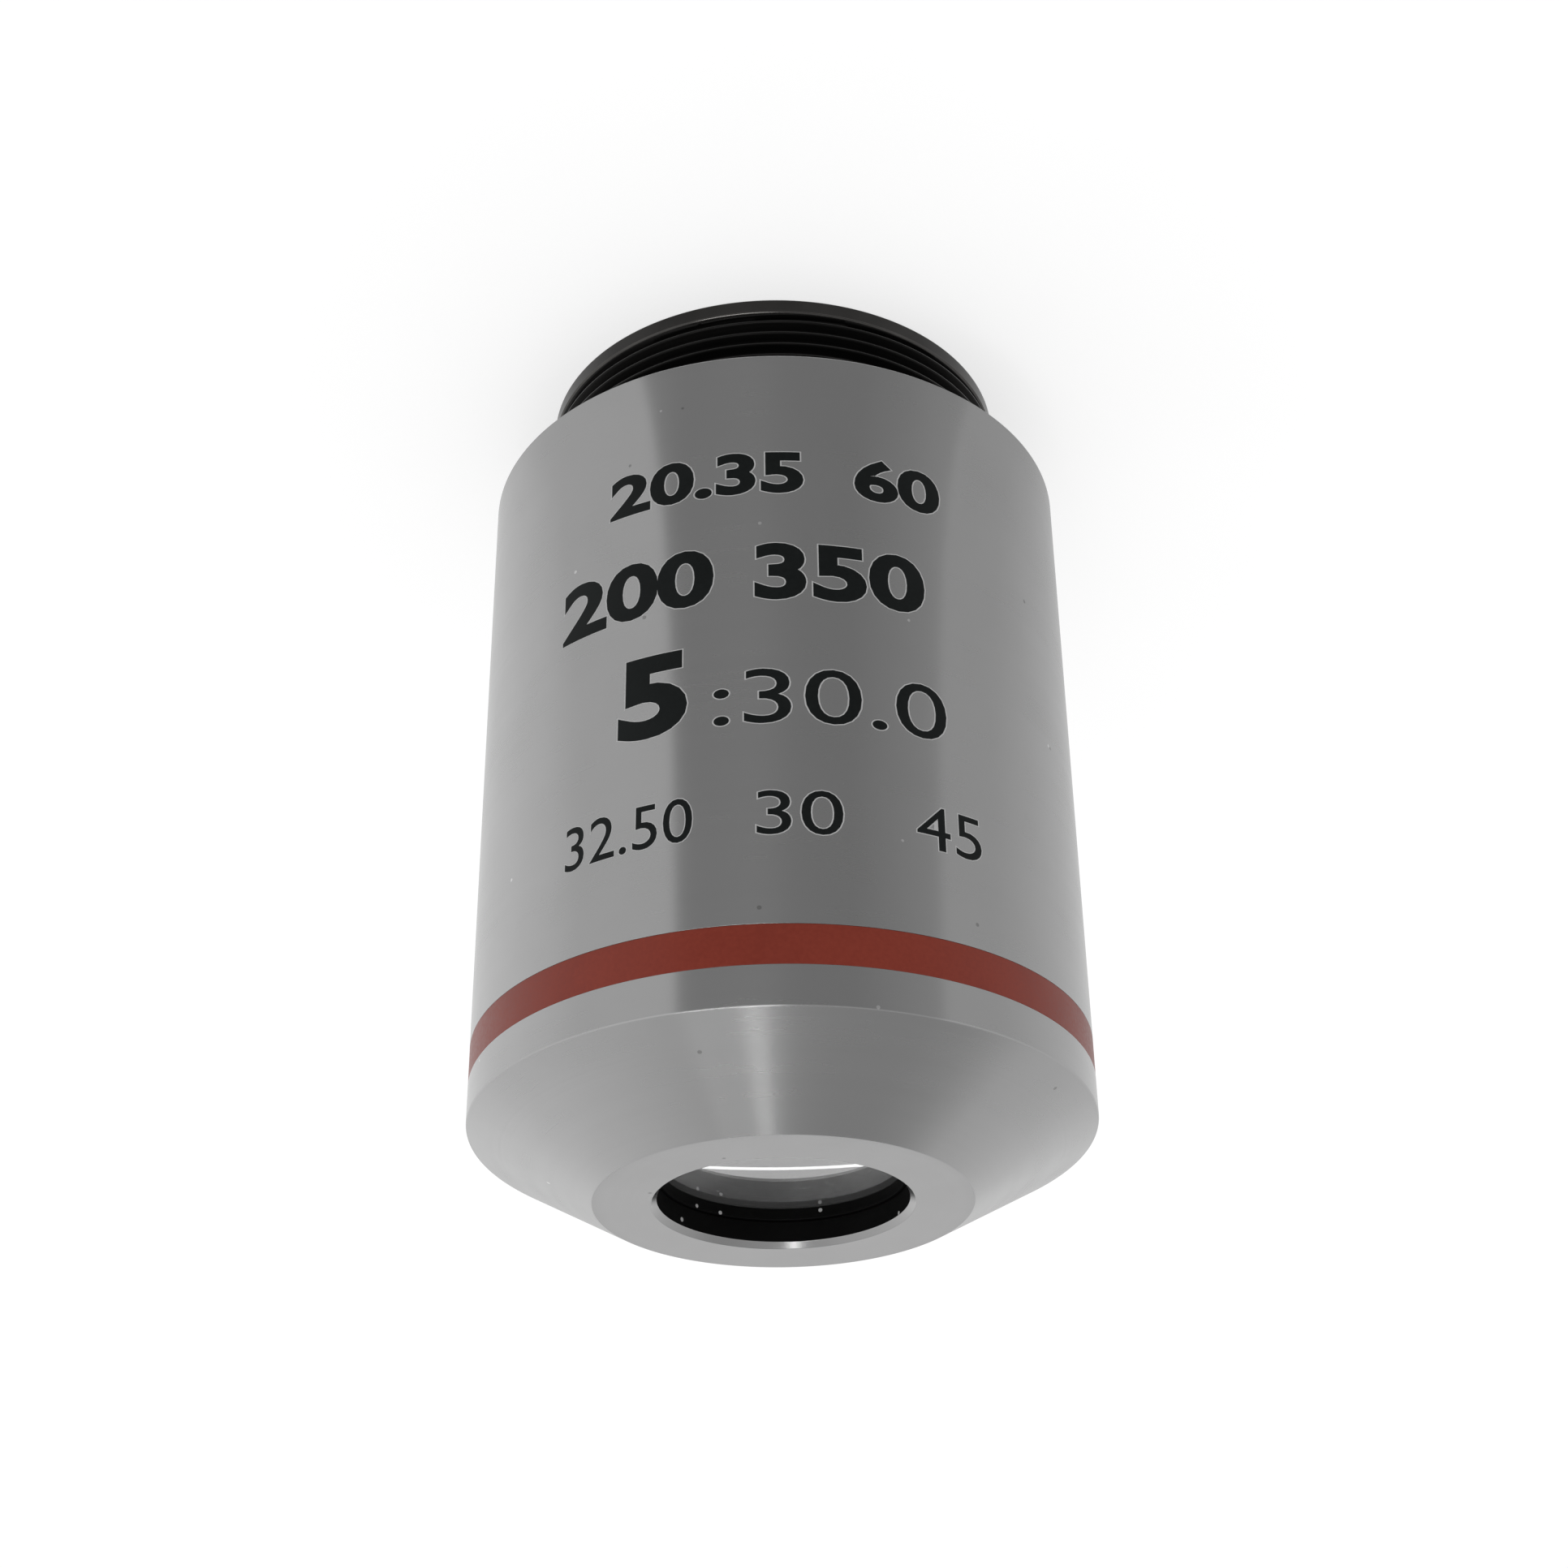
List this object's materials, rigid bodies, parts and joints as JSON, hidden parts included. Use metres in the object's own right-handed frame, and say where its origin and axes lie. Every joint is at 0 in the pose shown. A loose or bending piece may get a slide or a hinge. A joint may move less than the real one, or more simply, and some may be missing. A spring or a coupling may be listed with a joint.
{
  "type": "microscope objective",
  "caption": "Low-power microscope objective: plain satin barrel with a cone nose and a red ring, standing on its black mounting thread, with cemented lens groups in turned cells.",
  "frame": {"origin": "centre of the mounting shoulder, on the optical axis", "axes": "+Z along the optical axis from the mounting thread to the nose; the numbers on the barrel face -Y"},
  "size_m": [0.031, 0.031, 0.0461],
  "materials": {
    "satin_barrel": "satin",
    "enamel": "satin",
    "black_mount": "satin",
    "black_cell": "matte",
    "shim_metal": "satin",
    "optical_glass": "polished"
  },
  "bodies": {
    "root": {"outer_sleeve": "satin_barrel", "colour_band": "enamel", "mount_body": "black_mount", "parfocal_shim": "shim_metal", "rear_cell": "black_cell", "rear_lens": "optical_glass", "rear_ring": "black_cell", "aperture_stop": "black_cell", "rear_doublet_cell": "black_cell", "rear_doublet_crown": "optical_glass", "rear_doublet_flint": "optical_glass", "rear_doublet_ring": "black_cell", "rear_spacer": "black_cell", "flattener_cell": "black_cell", "flattener_meniscus": "optical_glass", "flattener_concave": "optical_glass", "flattener_ring": "black_cell", "middle_spacer": "black_cell", "middle_cell": "black_cell", "middle_doublet_flint": "optical_glass", "middle_doublet_crown": "optical_glass", "middle_ring": "black_cell", "front_cell": "black_cell", "front_doublet_flint": "optical_glass", "front_doublet_crown": "optical_glass", "front_doublet_ring": "black_cell", "front_lens": "optical_glass", "front_lens_ring": "black_cell", "lock_ring": "black_cell"}
  },
  "joints": []
}
